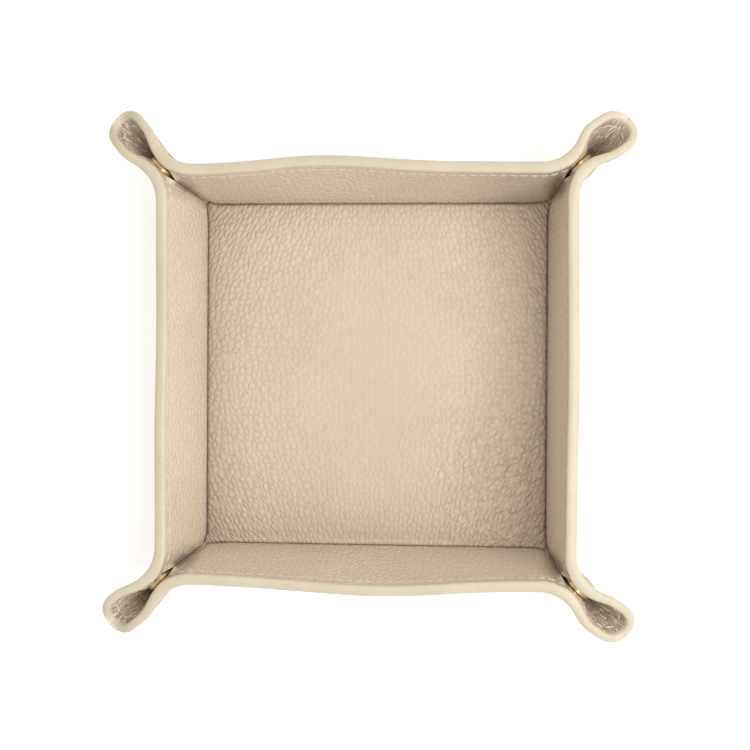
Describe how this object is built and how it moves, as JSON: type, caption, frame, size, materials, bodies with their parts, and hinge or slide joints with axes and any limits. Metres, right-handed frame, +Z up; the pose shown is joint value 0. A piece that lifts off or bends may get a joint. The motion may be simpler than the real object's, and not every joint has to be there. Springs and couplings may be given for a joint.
{
  "type": "valet tray",
  "caption": "Square leather catchall tray with puffed base, leaning stitched walls and painted edges, its corners pinched into ears by press studs that unsnap so it opens flat.",
  "frame": {"origin": "centre of the underside of the base, on the table", "axes": "+Z up; +X the right-hand wall, +Y the back wall (top of the picture)"},
  "size_m": [0.1708, 0.1708, 0.0361],
  "materials": {
    "outer_leather": "fine pebbled grain, matt",
    "lining_leather": "pebbled grain, soft sheen",
    "edge_paint": "smooth rubbery edge coat",
    "stiffener_board": "plain board, hidden",
    "pad_felt": "thin felt pad, hidden",
    "snap_brass": "polished"
  },
  "bodies": {
    "base": {"base_outer": "outer_leather", "base_board": "stiffener_board", "base_pad": "pad_felt", "base_lining": "lining_leather"},
    "right_wall": {"right_wall_outer": "outer_leather", "right_wall_stiffener": "stiffener_board", "right_wall_lining": "lining_leather", "right_wall_edge": "edge_paint"},
    "left_wall": {"left_wall_outer": "outer_leather", "left_wall_stiffener": "stiffener_board", "left_wall_lining": "lining_leather", "left_wall_edge": "edge_paint"},
    "back_wall": {"back_wall_outer": "outer_leather", "back_wall_stiffener": "stiffener_board", "back_wall_lining": "lining_leather", "back_wall_edge": "edge_paint"},
    "front_wall": {"front_wall_outer": "outer_leather", "front_wall_stiffener": "stiffener_board", "front_wall_lining": "lining_leather", "front_wall_edge": "edge_paint"},
    "right_back_ear": {"right_back_ear_outer": "outer_leather", "right_back_ear_lining": "lining_leather", "right_back_ear_edge": "edge_paint", "back_right_snap_cap": "snap_brass", "back_right_snap_socket": "snap_brass"},
    "right_front_ear": {"right_front_ear_outer": "outer_leather", "right_front_ear_lining": "lining_leather", "right_front_ear_edge": "edge_paint", "front_right_snap_cap": "snap_brass", "front_right_snap_socket": "snap_brass"},
    "left_back_ear": {"left_back_ear_outer": "outer_leather", "left_back_ear_lining": "lining_leather", "left_back_ear_edge": "edge_paint", "back_left_snap_cap": "snap_brass", "back_left_snap_socket": "snap_brass"},
    "left_front_ear": {"left_front_ear_outer": "outer_leather", "left_front_ear_lining": "lining_leather", "left_front_ear_edge": "edge_paint", "front_left_snap_cap": "snap_brass", "front_left_snap_socket": "snap_brass"},
    "back_right_ear": {"back_right_ear_outer": "outer_leather", "back_right_ear_lining": "lining_leather", "back_right_ear_edge": "edge_paint", "back_right_snap_stud": "snap_brass", "back_right_snap_post": "snap_brass"},
    "back_left_ear": {"back_left_ear_outer": "outer_leather", "back_left_ear_lining": "lining_leather", "back_left_ear_edge": "edge_paint", "back_left_snap_stud": "snap_brass", "back_left_snap_post": "snap_brass"},
    "front_right_ear": {"front_right_ear_outer": "outer_leather", "front_right_ear_lining": "lining_leather", "front_right_ear_edge": "edge_paint", "front_right_snap_stud": "snap_brass", "front_right_snap_post": "snap_brass"},
    "front_left_ear": {"front_left_ear_outer": "outer_leather", "front_left_ear_lining": "lining_leather", "front_left_ear_edge": "edge_paint", "front_left_snap_stud": "snap_brass", "front_left_snap_post": "snap_brass"}
  },
  "joints": [
    {"name": "right_wall_fold", "type": "hinge", "parent": "base", "child": "right_wall", "pos_m": [0.05993, 0, 0.0006], "axis": [0, 1, 0], "range_deg": [0, 73]},
    {"name": "left_wall_fold", "type": "hinge", "parent": "base", "child": "left_wall", "pos_m": [-0.05993, 0, 0.0006], "axis": [0, -1, 0], "range_deg": [0, 73]},
    {"name": "back_wall_fold", "type": "hinge", "parent": "base", "child": "back_wall", "pos_m": [0, 0.05993, 0.0006], "axis": [-1, 0, 0], "range_deg": [0, 73]},
    {"name": "front_wall_fold", "type": "hinge", "parent": "base", "child": "front_wall", "pos_m": [0, -0.05993, 0.0006], "axis": [1, 0, 0], "range_deg": [0, 73]},
    {"name": "right_back_ear_fold", "type": "hinge", "parent": "right_wall", "child": "right_back_ear", "pos_m": [0.0618, 0.05909, 0.02], "axis": [0.2265, 0.1932, 0.9547], "range_deg": [0, 43.4]},
    {"name": "right_front_ear_fold", "type": "hinge", "parent": "right_wall", "child": "right_front_ear", "pos_m": [0.0618, -0.05909, 0.02], "axis": [-0.2265, 0.1932, -0.9547], "range_deg": [0, 43.4]},
    {"name": "left_back_ear_fold", "type": "hinge", "parent": "left_wall", "child": "left_back_ear", "pos_m": [-0.0618, 0.05909, 0.02], "axis": [0.2265, -0.1932, -0.9547], "range_deg": [0, 43.4]},
    {"name": "left_front_ear_fold", "type": "hinge", "parent": "left_wall", "child": "left_front_ear", "pos_m": [-0.0618, -0.05909, 0.02], "axis": [-0.2265, -0.1932, 0.9547], "range_deg": [0, 43.4]},
    {"name": "back_right_ear_fold", "type": "hinge", "parent": "back_wall", "child": "back_right_ear", "pos_m": [0.05909, 0.0618, 0.02], "axis": [-0.1932, -0.2265, -0.9547], "range_deg": [0, 43.4]},
    {"name": "back_left_ear_fold", "type": "hinge", "parent": "back_wall", "child": "back_left_ear", "pos_m": [-0.05909, 0.0618, 0.02], "axis": [-0.1932, 0.2265, 0.9547], "range_deg": [0, 43.4]},
    {"name": "front_right_ear_fold", "type": "hinge", "parent": "front_wall", "child": "front_right_ear", "pos_m": [0.05909, -0.0618, 0.02], "axis": [0.1932, -0.2265, 0.9547], "range_deg": [0, 43.4]},
    {"name": "front_left_ear_fold", "type": "hinge", "parent": "front_wall", "child": "front_left_ear", "pos_m": [-0.05909, -0.0618, 0.02], "axis": [0.1932, 0.2265, -0.9547], "range_deg": [0, 43.4]}
  ],
  "couplings": [
    {"joint": "left_wall_fold", "follows": "right_wall_fold", "ratio": 1},
    {"joint": "back_wall_fold", "follows": "right_wall_fold", "ratio": 1},
    {"joint": "front_wall_fold", "follows": "right_wall_fold", "ratio": 1},
    {"joint": "right_back_ear_fold", "follows": "right_wall_fold", "ratio": 0.5945},
    {"joint": "right_front_ear_fold", "follows": "right_wall_fold", "ratio": 0.5945},
    {"joint": "left_back_ear_fold", "follows": "right_wall_fold", "ratio": 0.5945},
    {"joint": "left_front_ear_fold", "follows": "right_wall_fold", "ratio": 0.5945},
    {"joint": "back_right_ear_fold", "follows": "right_wall_fold", "ratio": 0.5945},
    {"joint": "back_left_ear_fold", "follows": "right_wall_fold", "ratio": 0.5945},
    {"joint": "front_right_ear_fold", "follows": "right_wall_fold", "ratio": 0.5945},
    {"joint": "front_left_ear_fold", "follows": "right_wall_fold", "ratio": 0.5945}
  ]
}
